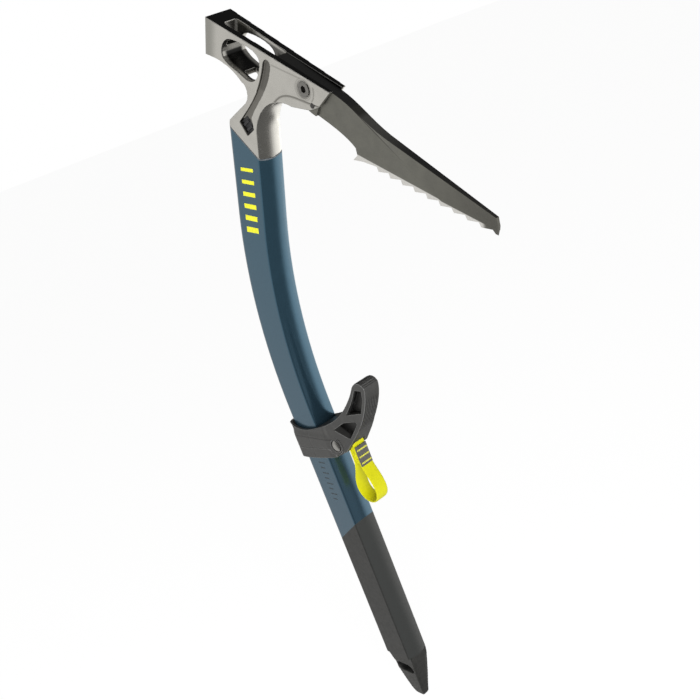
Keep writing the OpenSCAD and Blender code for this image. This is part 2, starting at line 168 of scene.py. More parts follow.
def write_mask(mesh, name, values):
    """A number for each point, which a material reads by this name."""
    attribute = mesh.attributes.get(name) or mesh.attributes.new(name, "FLOAT", "POINT")
    attribute.data.foreach_set("value", np.asarray(values, np.float32))


def new_piece(name, mesh):
    piece = bpy.data.objects.new(name, mesh)
    scene.collection.objects.link(piece)
    return piece


def apply_modifiers(piece):
    bpy.context.view_layer.update()
    shape = piece.evaluated_get(bpy.context.evaluated_depsgraph_get())
    mesh = bpy.data.meshes.new_from_object(shape)
    piece.modifiers.clear()
    piece.data = mesh
    mesh.polygons.foreach_set("use_smooth", [True] * len(mesh.polygons))
    return mesh


def rounded_copy(name, node, body, voxel, rounds, own_axes, shape):
    """A copy of a CAD node with its edges rounded as a forging's or a moulding's are: a grid of
    voxels, pulled back to the exact faces and then relaxed. shape(points, normals) then moves its
    points, in millimetres on the piece's own axes, and returns them and the piece's masks."""
    source = nodes[node].data.copy()
    source.transform(own_axes.inverted())
    piece = new_piece(name, source)
    piece.modifiers.new("weld", "WELD").merge_threshold = WELD_GAP
    grid = piece.modifiers.new("grid", "REMESH")
    grid.mode = "VOXEL"
    grid.voxel_size = voxel
    exact = bpy.data.objects.new("exact", source.copy())
    hold = piece.modifiers.new("hold", "SHRINKWRAP")
    hold.target = exact
    relax = piece.modifiers.new("relax", "SMOOTH")
    relax.factor = 0.5
    relax.iterations = rounds
    mesh = apply_modifiers(piece)
    bpy.data.objects.remove(exact)
    mesh.materials.clear()
    if shape:
        co, masks = shape(points_of(mesh) / MM, normals_of(mesh))
        write_points(mesh, co * MM)
        for mask, values in masks.items():
            write_mask(mesh, mask, values)
    mesh.transform(own_axes)
    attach(piece, body)
    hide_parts(node)
    return piece


# ---- head, in millimetres: u runs from the hammer to the pick, v up from the top line ----
PLATEAU = np.vstack([
    cubic((46.4, -50.5), (57.5, -30), (56, -18.5), (73.5, -15), 14),
    [(92.2, -11.8)],
])
PLATEAU_TOP = np.array([(53.5, -4.6), (79, -1.9)])
CHANNEL = cubic((50.9, -5), (50.6, -18), (44.5, -29), (36.6, -49), 12)
BOLT_AT = np.array([79.5, -7.2])
PLATEAU_RUN, PLATEAU_TOP_RUN = 72, 24
GROOVE_DEPTH, GROOVE_WIDTH = 0.5, 0.5
FINE_DEPTH, FINE_WIDTH = 0.22, 0.35
RING_R, RING_DEPTH, RING_WIDTH = 5.9, 0.3, 0.4
SEAT_R, SEAT_DEPTH = 5.4, 0.5
NICK_R, NICK_DEPTH, NICK_WIDTH = 7.9, 0.45, 0.35
STEP_DOWN, ROLL_DEPTH, ROLL_WIDTH = 0.3, 0.9, 5
HEAD_HALF = 8
HAMMER_HALF_W, HAMMER_HALF_H, CROWN_DEPTH = 9, 11.25, 0.5
CHEEK_HALF, CHEEK_TAPER = 9, 0.0318


def shape_head(p, n):
    """The head's grooves, rings and rounded flange, and masks for its painted shade and the painted dark
    reflection on its top.
    """
    u, y, v = p.T
    flat = np.stack([u, v], 1)
    side = smoothstep(0.55, 0.9, np.abs(n[:, 1])) * smoothstep(4.5, 5.2, np.abs(y))
    # a thin groove and a small step down along the plateau's lower edge, and below it the flange
    # rolls over
    d, along = line_distance(flat, PLATEAU)
    ends = smoothstep(0, 3, along) * smoothstep(0, 1.5, PLATEAU_RUN - along)
    below = smoothstep(0.3, -0.3, d) * ends * smoothstep(4, 2, v - np.interp(u, *PLATEAU.T))
    flange = smoothstep(-16, -10, d)
    roll = ROLL_DEPTH * (np.clip(-d, 0, ROLL_WIDTH) / ROLL_WIDTH) ** 2
    groove = GROOVE_DEPTH * ridge(d, GROOVE_WIDTH) * ends
    # a finer groove along the plateau's upper edge
    upper, run = line_distance(flat, PLATEAU_TOP)
    fine = FINE_DEPTH * ridge(upper, FINE_WIDTH) * smoothstep(0, 2, run)
    fine *= smoothstep(0, 2, PLATEAU_TOP_RUN - run)
    # rings round the bolt and a short curved nick beside it
    r = np.hypot(*(flat - BOLT_AT).T)
    ring = RING_DEPTH * ridge(r - RING_R, RING_WIDTH)
    ring += SEAT_DEPTH * smoothstep(SEAT_R, SEAT_R - 0.5, r)
    bearing = np.degrees(np.arctan2(*(flat - BOLT_AT).T[::-1]))
    nick = NICK_DEPTH * ridge(r - NICK_R, NICK_WIDTH) * smoothstep(36, 28, np.abs(bearing - 2))
    q = p.copy()
    q[:, 1] *= 1 - (STEP_DOWN + roll) * below * flange / HEAD_HALF
    q[:, 1] -= np.sign(y) * side * (groove + fine + ring + nick)
    # a slight crown on the hammer's face
    face = smoothstep(0.6, 0.9, -n[:, 0]) * smoothstep(2, 0.5, u)
    crown = (y / HAMMER_HALF_W) ** 2 + ((v + HAMMER_HALF_H) / HAMMER_HALF_H) ** 2
    q[:, 0] += face * CROWN_DEPTH * crown / 2
    # painted shade where the channel's floor lies below the head's side
    channel = line_distance(flat, CHANNEL)[0]
    reach = np.interp(v, (-46, -40), (6.6, 4.2))
    recess = smoothstep(reach, reach - 1, np.abs(channel)) * smoothstep(-3.2, -4.6, v)
    cheek = np.where(v > -26, CHEEK_HALF - CHEEK_TAPER * u, 0)
    half = np.maximum(cheek, np.interp(v, (-50, -24), (8.95, 7.2)))
    deep = smoothstep(0.3, 0.9, half - np.abs(y)) * recess
    # painted dark reflection on the top, and painted black shade inside the slot and on the walls beside the pick
    top = smoothstep(0.62, 0.8, n[:, 2]) * smoothstep(-3, -1.5, v)
    inside = smoothstep(6.8, 4.8, np.abs(y)) * smoothstep(-0.6, -2.5, v)
    inside *= smoothstep(8, 11, u) * smoothstep(62, 56, u) * smoothstep(-25, -22, v)
    inside *= np.maximum(smoothstep(-0.1, 0.4, n[:, 2]), 0.8 * np.abs(n[:, 1]) ** 4)
    walls = smoothstep(4.4, 3.9, np.abs(y)) * smoothstep(53, 55, u)
    # painted shade along the grooves, rings and nick, added to the channel's
    lines = side * (groove * 1.7 + fine * 2.2 + ring + nick)
    dark = np.clip(deep * 0.85 + lines, 0, 1)
    return q, {"top": top, "dark": dark, "black": np.maximum(inside, walls)}


# ---- finger rest, in millimetres from its pivot ----
POCKETS = [
    np.array([(4.1, 12.4), (15.5, 17.6), (27, 18.6), (27.5, 16.8), (16.9, 6.4), (14.9, 6.4)]),
    np.array([(20.9, 23.4), (35.5, 25), (42.7, 35.6), (44.3, 41.4), (37.5, 41.6), (28.7, 31.2)]),
]
BAND_LEAN = 0.9
HORN_RIB_PITCH, HORN_RIB_DEPTH = 1.5, 0.16
KNURL_PITCH, KNURL_DEPTH = 1.7, 0.22
REST_RINGS, REST_RING_DEPTH = (5.4, 6.6), 0.4
CREASE_Z, CREASE_DEPTH = 4.8, 0.3


def shape_lever(p, n):
    """The lever's leaning band, ribs, knurl, rings and crease, and a mask of its painted shade."""
    x, y, z = p.T
    q = p.copy()
    # the band's outside leans in above its crease
    outward = n[:, 1] * np.sign(y)
    band = smoothstep(-2, -8, x) * smoothstep(0.5, 0.8, outward) + smoothstep(0.6, 0.9, -n[:, 0])
    band = np.clip(band, 0, 1) * smoothstep(4.6, 9, z)
    q[:, 1] -= np.sign(y) * band * BAND_LEAN
    # ribs down the front of the horn, and a knurl on its top
    front = smoothstep(0.5, 0.8, n[:, 0] - 0.35 * n[:, 2])
    front *= smoothstep(10, 16, z) * smoothstep(36, 32, z)
    ribs = HORN_RIB_DEPTH * np.cos(2 * np.pi * y / HORN_RIB_PITCH) * smoothstep(6, 5, np.abs(y))
    knurl_at = smoothstep(0.35, 0.6, n[:, 2]) * smoothstep(28, 31, z)
    knurl_at *= smoothstep(5.8, 5.2, np.abs(y))
    waves = 2 * np.pi / KNURL_PITCH
    knurl = KNURL_DEPTH * np.cos(waves * (x + y)) * np.cos(waves * (x - y))
    q += n * (front * ribs + knurl_at * knurl)[:, None]
    # rings round the bolt, and the crease below the band
    r = np.hypot(x, z)
    bearing = np.degrees(np.arctan2(z, x))
    side = smoothstep(0.6, 0.9, np.abs(n[:, 1]))
    rings = sum(ridge(r - a, 0.25) for a in REST_RINGS) * smoothstep(80, 70, np.abs(bearing + 5))
    crease = side * ridge(z - CREASE_Z, 0.35) * smoothstep(9, 5, x)
    cut = REST_RING_DEPTH * rings + CREASE_DEPTH * crease
    q[:, 1] -= np.sign(y) * side * cut * (outward > 0)
    flat = np.stack([x, z], 1)
    pocket = sum(within(flat, ring) for ring in POCKETS) * smoothstep(5.4, 3.8, np.abs(y))
    # painted shade in the rings, the crease and the pockets, and on the ribbed front
    dark = side * rings * 0.9 + 0.6 * crease + 0.4 * front + pocket
    return q, {"dark": np.clip(dark, 0, 1)}


# ---- spike, in millimetres ----
CORNER_POWER = 7
SCOOP_FILL = 0.7


def shape_spike(p, n):
    """Rounds the spike's front corners off below the grip, sets its rear edge further out, and
    fills up part of the scoop in its side."""
    x, y, z = p.T
    low = z - SPIKE_LOW
    half_x = np.interp(low, (0, 3.6, 20, 34, 42), (2.5, 4.2, 9.6, 13, 14.2))
    mid_x = np.interp(low, (0, 34), (0.2, 1.2))
    half_y = np.interp(low, (0, 3, 30, 42), (1.5, 3.2, 7.2, 8))
    a, b = np.abs(x - mid_x) / half_x, np.abs(y) / half_y
    box = np.maximum(a, b)
    rounded = (a**CORNER_POWER + b**CORNER_POWER) ** (1 / CORNER_POWER)
    scale = box / np.maximum(rounded, 1e-6)
    amount = smoothstep(40, 30, low) * smoothstep(0.5, 0.9, box)
    scale = np.where(x > mid_x, 1 + (scale - 1) * amount, 1)
    q = p.copy()
    q[:, 0] = mid_x + (x - mid_x) * scale
    q[:, 1] = y * scale
    # the rear edge stands out further, and the scoop in front of it is shallow
    reach = np.interp(low, (0, 6, 14, 26, 33, 38), (0, 2, 2.2, 1.6, 0.8, 0))
    q[:, 0] -= reach * smoothstep(0, -0.8, (x - mid_x) / half_x)
    depth = half_y - np.abs(y)
    scoop = smoothstep(0.4, 0.8, np.abs(n[:, 1]))
    scoop *= smoothstep(24, 26, low) * smoothstep(38, 36, low) * smoothstep(0, -2, x)
    q[:, 1] += np.sign(y) * SCOOP_FILL * np.clip(depth, 0, 2) * scoop
    # painted shade in the scoop in front of the rear edge
    scoop_shade = smoothstep(0.7, 2.2, depth) * smoothstep(2, -3, x)
    scoop_shade *= smoothstep(24, 26, low) * smoothstep(37, 35, low)
    return q, {"dark": scoop_shade}


# ---- webbing ----
TAPE_W = 10 * MM
TAPE_T = 1.4 * MM
KEEPER_T = 1.0 * MM
TAPE_RIB, FLAT_RIB = 0.05 * MM, 0.04 * MM
RIB_PITCH, RIB_ROW_W = 1.1 * MM, 0.9 * MM
TAPE_COLUMNS, TAPE_EDGE_POWER = 19, 6


def tape_mesh(name, path, width, thick, rib):
    """A flat woven tape along a path in the XZ plane, with soft edges and small cross ribs."""
    path = np.asarray(path, float)
    step = np.gradient(path, axis=0)
    tangent = step / np.hypot(step[:, 0], step[:, 1])[:, None]
    side = np.stack([-tangent[:, 1], tangent[:, 0]], 1)
    run = np.concatenate([[0], np.cumsum(np.hypot(*np.diff(path, axis=0).T))])
    half = width / 2
    across = np.sin(np.linspace(-np.pi / 2, np.pi / 2, TAPE_COLUMNS)) * half
    edge = np.sqrt(np.clip(1 - (np.abs(across) / half) ** TAPE_EDGE_POWER, 0, 1))
    ring_y = np.concatenate([across, across[-2:0:-1]])
    ring_t = np.concatenate([edge, -edge[-2:0:-1]]) * thick / 2
    # every second row of ribs is half a pitch further along
    shift = np.pi * (np.round(ring_y / RIB_ROW_W) % 2)
    mesh_points = []
    for c, s, along in zip(path, side, run):
        ribs = rib * np.sin(2 * np.pi * along / RIB_PITCH + shift)
        t = ring_t + np.sign(ring_t) * ribs
        mesh_points += [(c[0] + s[0] * b, a, c[1] + s[1] * b) for a, b in zip(ring_y, t)]
    k = len(ring_y)
    faces = [[i * k + j, i * k + (j + 1) % k, (i + 1) * k + (j + 1) % k, (i + 1) * k + j]
             for i in range(len(path) - 1) for j in range(k)]
    faces += [list(range(k))[::-1], [(len(path) - 1) * k + j for j in range(k)]]
    mesh = bpy.data.meshes.new(name)
    mesh.from_pydata(mesh_points, [], faces)
    mesh.polygons.foreach_set("use_smooth", [len(f) == 4 for f in faces])
    made = bmesh.new()
    made.from_mesh(mesh)
    bmesh.ops.recalc_face_normals(made, faces=made.faces)
    made.to_mesh(mesh)
    made.free()
    return mesh


def resample(points, spacing):
    """The same path with its points evenly spaced."""
    points = np.asarray(points, float)
    run = np.concatenate([[0], np.cumsum(np.hypot(*np.diff(points, axis=0).T))])
    at = np.linspace(0, run[-1], max(2, int(run[-1] / spacing)))
    return np.stack([np.interp(at, run, points[:, 0]), np.interp(at, run, points[:, 1])], 1)


def arc(centre, radius, start, end, count):
    """Points on an arc between two angles in degrees."""
    a = np.radians(np.linspace(start, end, count))
    return np.stack([centre[0] + radius * np.cos(a), centre[1] + radius * np.sin(a)], 1)


def add_webbing():
    """The folded tape round its pin, the two ends between its legs, the keeper and its thread."""
    pin = np.array([WEB_PIN.x, WEB_PIN.z])
    eye = np.array([WEB_EYE.x, WEB_EYE.z])
    wrap = 2.5 * MM
    loop = 9.7 * MM
    legs_end = 13.5 * MM
    spread = 9 * MM
    front_leg = pin + [wrap, -legs_end]
    rear_leg = pin + [-wrap, -legs_end]
    path = np.vstack([
        [pin + [wrap, -legs_end * 0.98], pin + [wrap, -legs_end * 0.5]],
        arc(pin, wrap, 0, 180, 24),
        [rear_leg],
        cubic(rear_leg, rear_leg - [0, spread], eye + [-loop, spread], eye + [-loop, 0], 14)[1:],
        arc(eye, loop, 180, 360, 60)[1:],
        cubic(eye + [loop, 0], eye + [loop, spread], front_leg - [0, spread], front_leg, 14)[1:],
    ])
    pieces = [("webbing_tape", resample(path, 0.28 * MM), TAPE_W, TAPE_T, TAPE_RIB)]
    for i, shift in enumerate((-0.8 * MM, 0.8 * MM)):
        inner = [
            pin + [shift, -3.2 * MM],
            pin + [shift * 1.1, -9 * MM],
            pin + [shift * 0.9, -legs_end - 3 * MM],
        ]
        route = resample(inner, 0.3 * MM)
        pieces.append((f"webbing_fold_{i}", route, TAPE_W * 0.97, TAPE_T, FLAT_RIB))
    for name, route, width, thick, rib in pieces:
        piece = new_piece(name, tape_mesh(name, route, width, thick, rib))
        piece.data.materials.append(materials["tape_yellow"])
        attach(piece, "webbing")
        if name == "webbing_tape":
            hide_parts("webbing_loop")
    low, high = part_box("webbing_keeper")
    mid = (low.x + high.x) / 2
    bow = [(mid + 0.1 * MM, high.z), (mid, (low.z + high.z) / 2), (mid + 0.05 * MM, low.z)]
    mesh = tape_mesh("keeper_tape", resample(bow, 0.25 * MM), TAPE_W, KEEPER_T, FLAT_RIB)
    keeper = new_piece("keeper_tape", mesh)
    keeper.data.materials.append(materials["tape_grey"])
    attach(keeper, "webbing")
    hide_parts("webbing_keeper")
    add_stitches(high.x)


def add_stitches(front_x):
    """Three bar tacks: close rows of thread laid across the keeper's front."""
    cut_low, cut_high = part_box("webbing_stitches")
    rows = 3
    bar_h = 1.3 * MM
    thread = 0.2 * MM
    turns = 15
    half = (cut_high.y - cut_low.y) / 2
    mesh = bpy.data.meshes.new("bar_tacks")
    made = bmesh.new()
    for row in range(rows):
        z = cut_low.z + bar_h / 2 + (cut_high.z - cut_low.z - bar_h) * row / (rows - 1)
        for i in range(turns):
            y = -half + thread + (2 * half - 2 * thread) * i / (turns - 1)
            lean = 0.12 * MM * (-1) ** i
            turn = Matrix.Rotation(lean / bar_h, 4, "X")
            place = Matrix.Translation((front_x + 0.05 * MM, y, z)) @ turn
            bmesh.ops.create_uvsphere(
                made, u_segments=8, v_segments=8, radius=1,
                matrix=place @ Matrix.Diagonal((thread * 1.3, thread * 1.25, bar_h / 2, 1)),
            )
    made.to_mesh(mesh)
    made.free()
    mesh.polygons.foreach_set("use_smooth", [True] * len(mesh.polygons))
    tacks = new_piece("bar_tacks", mesh)
    mesh.materials.append(materials["thread_yellow"])
    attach(tacks, "webbing")
    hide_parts("webbing_stitches")


# ---- generic markings on the shaft's flat sides ----
MARK_PROUD = 0.03 * MM


def on_shaft(run, offset):
    """The place on the shaft's side plane that lies run along its centreline from the bend's
    start, and offset towards its front."""
    turn = min(max(run / BEND_RADIUS, 0), BEND_ANGLE)
    rest = run - turn * BEND_RADIUS
    x = BEND_RADIUS - (BEND_RADIUS - offset) * math.cos(turn) + rest * math.sin(turn)
    z = BEND_START + (BEND_RADIUS - offset) * math.sin(turn) + rest * math.cos(turn)
    return x, z


def add_marks(name, marks, material):
    """Thin printed marks on both flat sides, given as (run, length, rear, front, slant)."""
    made = bmesh.new()
    for y in (-SHAFT_Y, SHAFT_Y):
        proud = math.copysign(MARK_PROUD, y)
        for run, length, rear, front, slant in marks:
            end = run + length
            corners = [(run, rear), (end, rear), (end + slant, front), (run + slant, front)]
            # each edge in four steps, so that a mark follows the bend
            ring = []
            for a, b in zip(corners, corners[1:] + corners[:1]):
                ring += [(a[0] + (b[0] - a[0]) * t, a[1] + (b[1] - a[1]) * t)
                         for t in (0, 0.25, 0.5, 0.75)]
            flat = [on_shaft(*c) for c in ring]
            top = [made.verts.new((x, y + proud, z)) for x, z in flat]
            base = [made.verts.new((x, y - proud, z)) for x, z in flat]
            made.faces.new(top)
            made.faces.new(base[::-1])
            for i in range(len(ring)):
                j = (i + 1) % len(ring)
                made.faces.new((top[i], base[i], base[j], top[j]))
    bmesh.ops.recalc_face_normals(made, faces=made.faces)
    mesh = bpy.data.meshes.new(name)
    made.to_mesh(mesh)
    made.free()
    mesh.materials.append(material)
    piece = new_piece(name, mesh)
    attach(piece, "axe")


# ---- materials ----
# the sockets of a Mix node that mixes colours
MIX_FACTOR, MIX_A, MIX_B, MIX_RESULT = 0, 6, 7, 2


def build(tree, kind, inputs=None, **settings):
    """A new shader node; inputs are numbers to set or sockets to link."""
    made = tree.nodes.new(kind)
    for key, value in settings.items():
        setattr(made, key, value)
    for key, value in (inputs or {}).items():
        if isinstance(value, bpy.types.NodeSocket):
            tree.links.new(value, made.inputs[key])
        else:
            made.inputs[key].default_value = value
    return made


class Finish:
    """A principled material and the procedural nodes that vary it over the piece."""

    def __init__(self, name, color, roughness, **sockets):
        self.material = bpy.data.materials.new(name)
        self.material.use_nodes = True
        self.tree = self.material.node_tree
        self.shader = self.tree.nodes["Principled BSDF"]
        self.color = (*color, 1)
        self.shader.inputs["Base Color"].default_value = self.color
        self.shader.inputs["Roughness"].default_value = roughness
        for key, value in sockets.items():
            self.shader.inputs[key.replace("_", " ")].default_value = value
        self.coords = build(self.tree, "ShaderNodeTexCoord").outputs["Object"]
        self.paint = None

    def noise(self, size, detail, stretch=(1, 1, 1)):
        """Noise with features of about this size in metres."""
        scale = [s / size for s in stretch]
        at = build(self.tree, "ShaderNodeMapping", {"Vector": self.coords, "Scale": scale})
        return build(self.tree, "ShaderNodeTexNoise", {
            "Vector": at.outputs[0], "Scale": 1.0, "Detail": detail,
        }).outputs["Fac"]

    def ramp(self, value, low, high, to_low=0.0, to_high=1.0):
        """Takes low to to_low and high to to_high, smoothly and clamped."""
        return build(self.tree, "ShaderNodeMapRange", {
            "Value": value, "From Min": low, "From Max": high, "To Min": to_low, "To Max": to_high,
        }, interpolation_type="SMOOTHSTEP").outputs["Result"]

    def math(self, operation, a, b):
        return build(self.tree, "ShaderNodeMath", {0: a, 1: b},
                     operation=operation, use_clamp=True).outputs[0]

    def mask(self, name):
        return build(self.tree, "ShaderNodeAttribute", attribute_name=name).outputs["Fac"]

    def height_above(self, point, direction):
        """How far each place lies above a plane through point, in metres."""
        away = build(self.tree, "ShaderNodeVectorMath", {0: self.coords, 1: tuple(point)},
                     operation="SUBTRACT").outputs[0]
        return build(self.tree, "ShaderNodeVectorMath", {0: away, 1: tuple(direction)},
                     operation="DOT_PRODUCT").outputs["Value"]

    def facing(self, direction):
        """How much the surface faces a direction of the piece's own frame."""
        normal = build(self.tree, "ShaderNodeTexCoord").outputs["Normal"]
        return build(self.tree, "ShaderNodeVectorMath", {0: normal, 1: tuple(direction)},
                     operation="DOT_PRODUCT").outputs["Value"]

    def tint(self, amount, color):
        """Lays a second colour over the first where amount is 1."""
        mix = build(self.tree, "ShaderNodeMix", {
            MIX_FACTOR: amount, MIX_A: self.paint or self.color, MIX_B: (*color, 1),
        }, data_type="RGBA")
        self.paint = mix.outputs[MIX_RESULT]
        self.vary("Base Color", self.paint)

    def mottle(self, size, detail, low, high, color):
        """Patches of a second colour, of about this size in metres."""
        self.tint(self.ramp(self.noise(size, detail), low, high), color)

    def uneven(self, noise, smooth, rough):
        """A roughness that runs from smooth to rough as the noise does."""
        self.vary("Roughness", self.ramp(noise, 0.3, 0.7, smooth, rough))

    def vary(self, socket, value):
        """Gives one of the shader's sockets a value that differs over the piece."""
        self.tree.links.new(value, self.shader.inputs[socket])

    def bump(self, height, depth, strength):
        """depth is the bump's real depth in metres."""
        made = build(self.tree, "ShaderNodeBump", {
            "Height": height, "Distance": depth, "Strength": strength,
        })
        self.vary("Normal", made.outputs["Normal"])

    def painted_edge_highlight(self, low, high):
        """1 along the outward edges, where a painted highlight goes."""
        edge = build(self.tree, "ShaderNodeNewGeometry").outputs["Pointiness"]
        return self.ramp(edge, low, high)


TOP_ROUGHNESS = 0.16


def head_steel():
    """Bare forged steel with painted highlights on its edges, painted shade in its channel and grooves, painted
    black shade inside its slot and a painted black reflection on its top.
    """
    f = Finish("head_steel", (0.70, 0.69, 0.65), 0.36, Metallic=1.0)
    f.mottle(9 * MM, 4, 0.35, 0.7, (0.66, 0.65, 0.612))
    hammer = f.ramp(f.height_above(HEAD_CORNER, ALONG_HEAD), 3 * MM, 11 * MM, 0.8, 0)
    f.tint(hammer, (0.36, 0.36, 0.33))
    # painted shade: dark grey in the channel and along the grooves and rings, black inside the slot and on the
    # walls beside the pick
    f.tint(f.mask("dark"), (0.17, 0.162, 0.145))
    f.tint(f.mask("black"), (0.02, 0.02, 0.02))
    # painted highlight along the outward edges
    f.tint(f.painted_edge_highlight(0.52, 0.58), (0.82, 0.81, 0.78))
    grain = f.noise(0.45 * MM, 5)
    # the top painted near-black, glossy and not metallic: a painted reflection of the dark room above
    top = f.mask("top")
    f.tint(top, (0.0012, 0.0012, 0.0013))
    f.vary("Specular IOR Level", f.ramp(top, 0, 1, 0.5, 0.12))
    bare = f.math("MULTIPLY", f.ramp(grain, 0.3, 0.7, 0.24, 0.34), f.math("SUBTRACT", 1.0, top))
    f.vary("Roughness", f.math("ADD", bare, f.math("MULTIPLY", top, TOP_ROUGHNESS)))
    f.vary("Metallic", f.ramp(top, 0, 1, 1.0, 0.0))
    f.bump(grain, 0.012 * MM, 0.5)
    return f.material


def pick_steel():
    """Blasted steel with ground teeth, darker towards its tip, with a painted dark reflection along its spine and
    painted light on its teeth and upper face.
    """
    f = Finish("pick_steel", (0.215, 0.214, 0.188), 0.42, Metallic=0.9)
    f.mottle(7 * MM, 4, 0.35, 0.7, (0.195, 0.194, 0.172))
    # the toothed edge, from the first tooth along the line of the teeth
    slope = math.radians(5.9)
    along = ALONG_HEAD * math.cos(slope) + UP_HEAD * math.sin(slope)
    below = ALONG_HEAD * math.sin(slope) - UP_HEAD * math.cos(slope)
    start = HEAD @ Vector((118.6 * MM, 0, -28.4 * MM))
    under = f.ramp(f.height_above(start, below), -0.4 * MM, 0.2 * MM)
    run = f.height_above(start, along)
    teeth = f.math("MULTIPLY", under, f.ramp(run, -6 * MM, -4 * MM))
    teeth = f.math("MULTIPLY", teeth, f.ramp(run, 84 * MM, 87 * MM, 1, 0))
    # painted dark reflection on the faces that look up, along the spine
    f.tint(f.ramp(f.facing(UP_HEAD), 0.5, 0.8), (0.05, 0.05, 0.05))
    # the teeth near-white: their ground steel, with a painted highlight on it
    f.tint(teeth, (0.84, 0.83, 0.80))
    # the swage line: a fine crease, drawn as a line of painted shade, with the face above it turned slightly up
    # and given painted light
    crease = HEAD @ Vector((118 * MM, 0, -4.9 * MM))
    fall = math.radians(16.5)
    above = f.height_above(crease, ALONG_HEAD * math.sin(fall) + UP_HEAD * math.cos(fall))
    from_hammer = f.height_above(HEAD_CORNER, ALONG_HEAD)
    reach = f.ramp(from_hammer, 128 * MM, 156 * MM, 1, 0)
    painted_facet_light = f.math("MULTIPLY", f.ramp(above, -0.1 * MM, 0.2 * MM, 0, 0.5), reach)
    f.tint(painted_facet_light, (0.26, 0.255, 0.235))
    line_low = f.ramp(above, -0.35 * MM, -0.1 * MM)
    line_high = f.ramp(above, 0.1 * MM, 0.35 * MM, 1, 0)
    line = f.math("MULTIPLY", line_low, line_high)
    f.tint(f.math("MULTIPLY", line, reach), (0.07, 0.068, 0.062))
    toward_tip = f.ramp(from_hammer, 150 * MM, 213 * MM, 0, 0.55)
    f.tint(f.math("MULTIPLY", toward_tip, f.math("SUBTRACT", 1.0, teeth)), (0.09, 0.086, 0.078))
    grain = f.noise(0.5 * MM, 4)
    f.uneven(grain, 0.38, 0.52)
    f.bump(grain, 0.006 * MM, 0.4)
    return f.material


def shaft_paint():
    """Blue anodised alloy, a little greyer towards the grip."""
    f = Finish("shaft_paint", (0.051, 0.122, 0.178), 0.3,
               Metallic=0.85, Coat_Weight=0.35, Coat_Roughness=0.12)
    f.mottle(0.25 * MM, 2, 0.45, 0.8, (0.058, 0.136, 0.196))
    low = f.ramp(f.height_above((0, 0, 0), (0, 0, 1)), 0.05, 0.3, 0.3, 0.0)
    f.tint(low, (0.072, 0.108, 0.150))
    f.uneven(f.noise(6 * MM, 4), 0.19, 0.26)
    f.bump(f.noise(0.18 * MM, 2), 0.001 * MM, 0.15)
    return f.material


def grip_rubber():
    f = Finish("grip_rubber", (0.019, 0.0192, 0.0184), 0.36, Specular_IOR_Level=0.3)
    f.mottle(5 * MM, 3, 0.4, 0.75, (0.022, 0.0222, 0.0213))
    # the front faces painted lighter: painted light on the side that faces the pick's way
    f.tint(f.ramp(f.facing((1, 0, 0)), 0.5, 0.85), (0.031, 0.0325, 0.0315))
    f.bump(f.noise(0.5 * MM, 3), 0.012 * MM, 0.5)
    f.uneven(f.noise(2 * MM, 3), 0.32, 0.42)
    return f.material


def rest_plastic():
    f = Finish("rest_plastic", (0.030, 0.030, 0.029), 0.38, Specular_IOR_Level=0.6)
    f.mottle(4 * MM, 3, 0.4, 0.75, (0.036, 0.036, 0.0348))
    # painted shade in the rings, crease and pockets, and on the ribbed front
    f.tint(f.mask("dark"), (0.004, 0.004, 0.004))
    # painted highlight along the lever's outward edges
    f.tint(f.painted_edge_highlight(0.515, 0.56), (0.15, 0.15, 0.148))
    f.bump(f.noise(0.35 * MM, 3), 0.01 * MM, 0.6)
    f.uneven(f.noise(0.8 * MM, 3), 0.36, 0.5)
    return f.material


def spike_steel():
    f = Finish("spike_steel", (0.034, 0.034, 0.032), 0.5, Metallic=0.3)
    f.mottle(3 * MM, 5, 0.4, 0.7, (0.028, 0.028, 0.0265))
    # painted shade in the scoop
    f.tint(f.mask("dark"), (0.012, 0.012, 0.012))
    # the point lighter: wear on it, with a painted highlight on top
    tip = f.ramp(f.height_above((0, 0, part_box("spike")[0].z), (0, 0, 1)), 0.5 * MM, 4 * MM, 0.7, 0)
    tip_wear_and_glint = f.math("MULTIPLY", tip, f.ramp(f.noise(1.2 * MM, 4), 0.45, 0.6))
    f.tint(tip_wear_and_glint, (0.30, 0.295, 0.28))
    f.bump(f.noise(0.4 * MM, 4), 0.015 * MM, 0.6)
    f.uneven(f.noise(1.5 * MM, 4), 0.44, 0.56)
    return f.material


def plain_metal(name, color, roughness):
    f = Finish(name, color, roughness, Metallic=1.0)
    f.mottle(1.2 * MM, 4, 0.4, 0.75, [c * 0.8 for c in color])
    f.bump(f.noise(0.2 * MM, 3), 0.004 * MM, 0.5)
    f.uneven(f.noise(0.6 * MM, 3), roughness * 0.8, roughness * 1.25)
    return f.material


def dark_rubber(name, color):
    f = Finish(name, color, 0.6)
    f.mottle(1.5 * MM, 3, 0.4, 0.75, [c * 1.4 for c in color])
    f.bump(f.noise(0.4 * MM, 3), 0.02 * MM, 0.6)
    return f.material


def woven(name, color, shade, sheen):
    """Tape or thread, with the rows of its weave drawn a shade darker."""
    f = Finish(name, color, 0.72, Sheen_Weight=sheen, Sheen_Roughness=0.4)
    threads = build(f.tree, "ShaderNodeMapping", {
        "Vector": f.coords, "Scale": [1 / MM] * 3,
    }).outputs[0]
    weave = build(f.tree, "ShaderNodeTexBrick", {
        "Vector": threads, "Scale": 1.6, "Mortar Size": 0.05, "Mortar Smooth": 1.0,
        "Brick Width": 0.9, "Row Height": 0.45,
    })
    f.tint(f.ramp(weave.outputs["Fac"], 0.0, 1.0), shade)
    f.tint(f.ramp(f.noise(2.5 * MM, 3), 0.45, 0.8, 0, 0.5), shade)
    f.bump(f.noise(0.35 * MM, 3, (1, 0.4, 1)), 0.06 * MM, 0.7)
    return f.material


def printed(name, color):
    f = Finish(name, color, 0.4)
    f.mottle(0.8 * MM, 3, 0.4, 0.8, [c * 0.85 for c in color])
    return f.material


